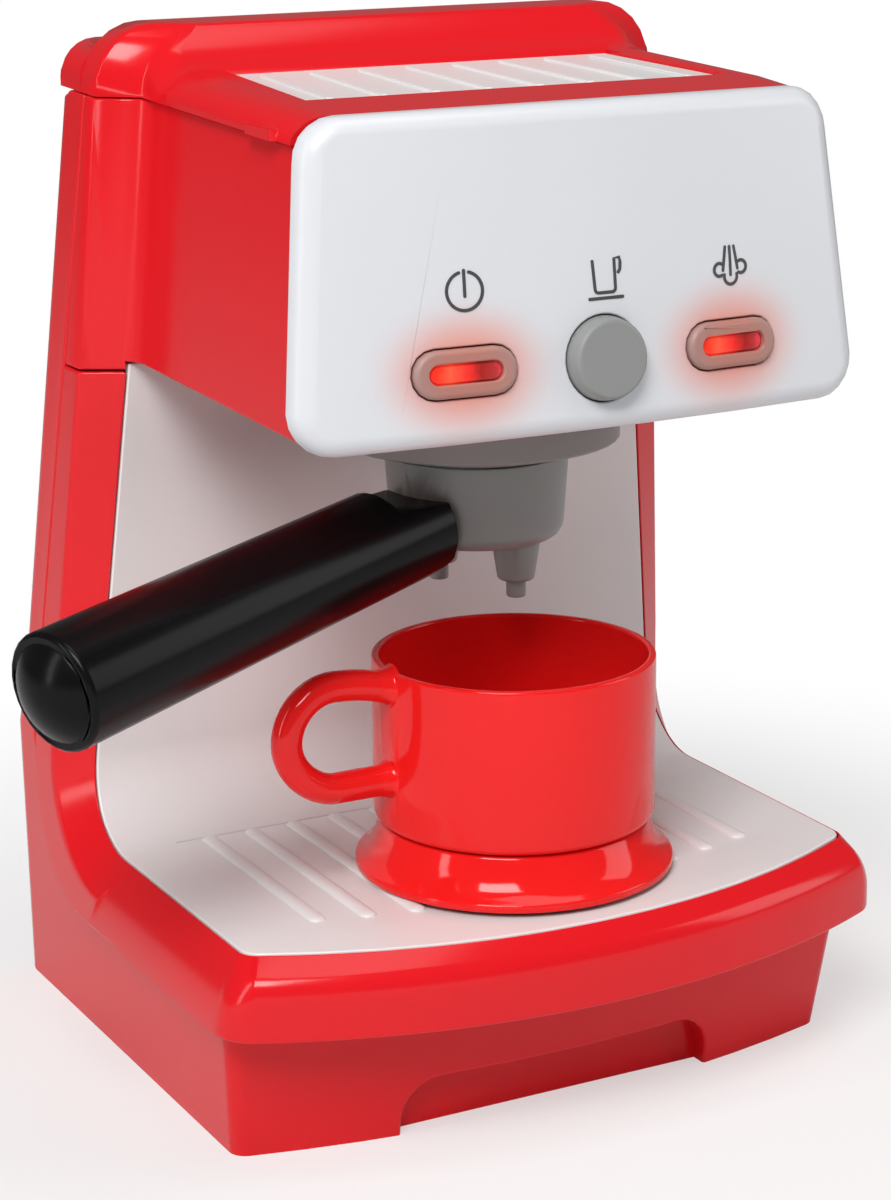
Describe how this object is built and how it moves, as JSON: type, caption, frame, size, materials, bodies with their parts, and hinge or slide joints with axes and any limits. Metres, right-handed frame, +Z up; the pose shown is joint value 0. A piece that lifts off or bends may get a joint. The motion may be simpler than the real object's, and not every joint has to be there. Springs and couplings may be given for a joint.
{
  "type": "toy coffee maker",
  "caption": "Toy espresso machine with a bowed control panel, ribbed drip tray, side-handled filter holder with nozzles, hinged lid, and a cup on a flared saucer.",
  "frame": {"origin": "on the floor, under the middle of the base", "axes": "+X to the machine's right as seen from the front, +Y to its back, +Z up"},
  "size_m": [0.1988, 0.1556, 0.2286],
  "materials": {
    "body_red": "glossy red moulded plastic",
    "tray_white": "satin white moulded plastic",
    "panel_white": "satin pale moulded plastic",
    "brew_grey": "matt mid-grey moulded plastic",
    "handle_black": "satin black moulded plastic",
    "cup_red": "glossy orange-red moulded plastic",
    "lens_red": "clear red plastic",
    "tank_clear": "cloudy clear plastic",
    "inner_dark": "dark moulded plastic",
    "board_green": "green lacquered laminate",
    "cell_jacket": "printed film over a steel can",
    "steel": "plated steel"
  },
  "bodies": {
    "housing": {"rear_housing": "body_red", "front_frame": "body_red", "tray_liner": "tray_white", "head_housing": "body_red", "water_tank": "tank_clear", "front_panel": "panel_white", "power_switch": "inner_dark", "power_led": "lens_red", "steam_switch": "inner_dark", "steam_led": "lens_red", "brew_switch": "inner_dark", "control_board": "board_green", "board_screw_1": "steel", "board_screw_2": "steel", "board_screw_3": "steel", "board_screw_4": "steel", "brew_head": "brew_grey", "battery_door": "body_red", "battery_door_screw": "steel", "battery_cell_1": "cell_jacket", "battery_cell_2": "cell_jacket", "battery_contact_1": "steel", "battery_contact_2": "steel", "speaker": "inner_dark", "housing_screw_1": "steel", "housing_screw_2": "steel", "housing_screw_3": "steel", "housing_screw_4": "steel", "housing_screw_5": "steel", "housing_screw_6": "steel"},
    "power_key": {"power_button": "brew_grey", "power_lens": "lens_red", "power_plunger": "inner_dark"},
    "steam_key": {"steam_button": "brew_grey", "steam_lens": "lens_red", "steam_plunger": "inner_dark"},
    "brew_key": {"brew_button": "brew_grey", "brew_plunger": "inner_dark"},
    "portafilter": {"filter_holder": "brew_grey", "portafilter_handle": "handle_black", "handle_screw": "steel", "handle_end_cap": "handle_black"},
    "lid": {"top_lid": "body_red", "cup_warmer_plate": "tray_white", "lid_hinge_pin_left": "steel", "lid_hinge_pin_right": "steel"},
    "saucer": {"saucer": "cup_red"},
    "cup": {"cup": "cup_red"}
  },
  "joints": [
    {"name": "power_press", "type": "slide", "parent": "housing", "child": "power_key", "axis": [0.0951, 0.9907, -0.0978], "range_m": [0, 0.001], "stiffness_N_per_m": 300},
    {"name": "steam_press", "type": "slide", "parent": "housing", "child": "steam_key", "axis": [-0.0951, 0.9907, -0.0978], "range_m": [0, 0.001], "stiffness_N_per_m": 300},
    {"name": "brew_press", "type": "slide", "parent": "housing", "child": "brew_key", "axis": [0, 0.9952, -0.0983], "range_m": [0, 0.0025], "stiffness_N_per_m": 300},
    {"name": "portafilter_twist", "type": "hinge", "parent": "housing", "child": "portafilter", "pos_m": [0, -0.0191, 0.137], "axis": [0, 0, 1], "range_deg": [0, 70.5]},
    {"name": "lid_open", "type": "hinge", "parent": "housing", "child": "lid", "pos_m": [0, 0.0414, 0.2174], "axis": [-1, 0, 0], "range_deg": [0, 85]},
    {"name": "saucer_slide", "type": "slide", "parent": "housing", "child": "saucer", "axis": [0, -1, 0], "range_m": [0, 0.08]},
    {"name": "cup_lift", "type": "slide", "parent": "saucer", "child": "cup", "axis": [0, 0, 1], "range_m": [0, 0.0095]}
  ]
}
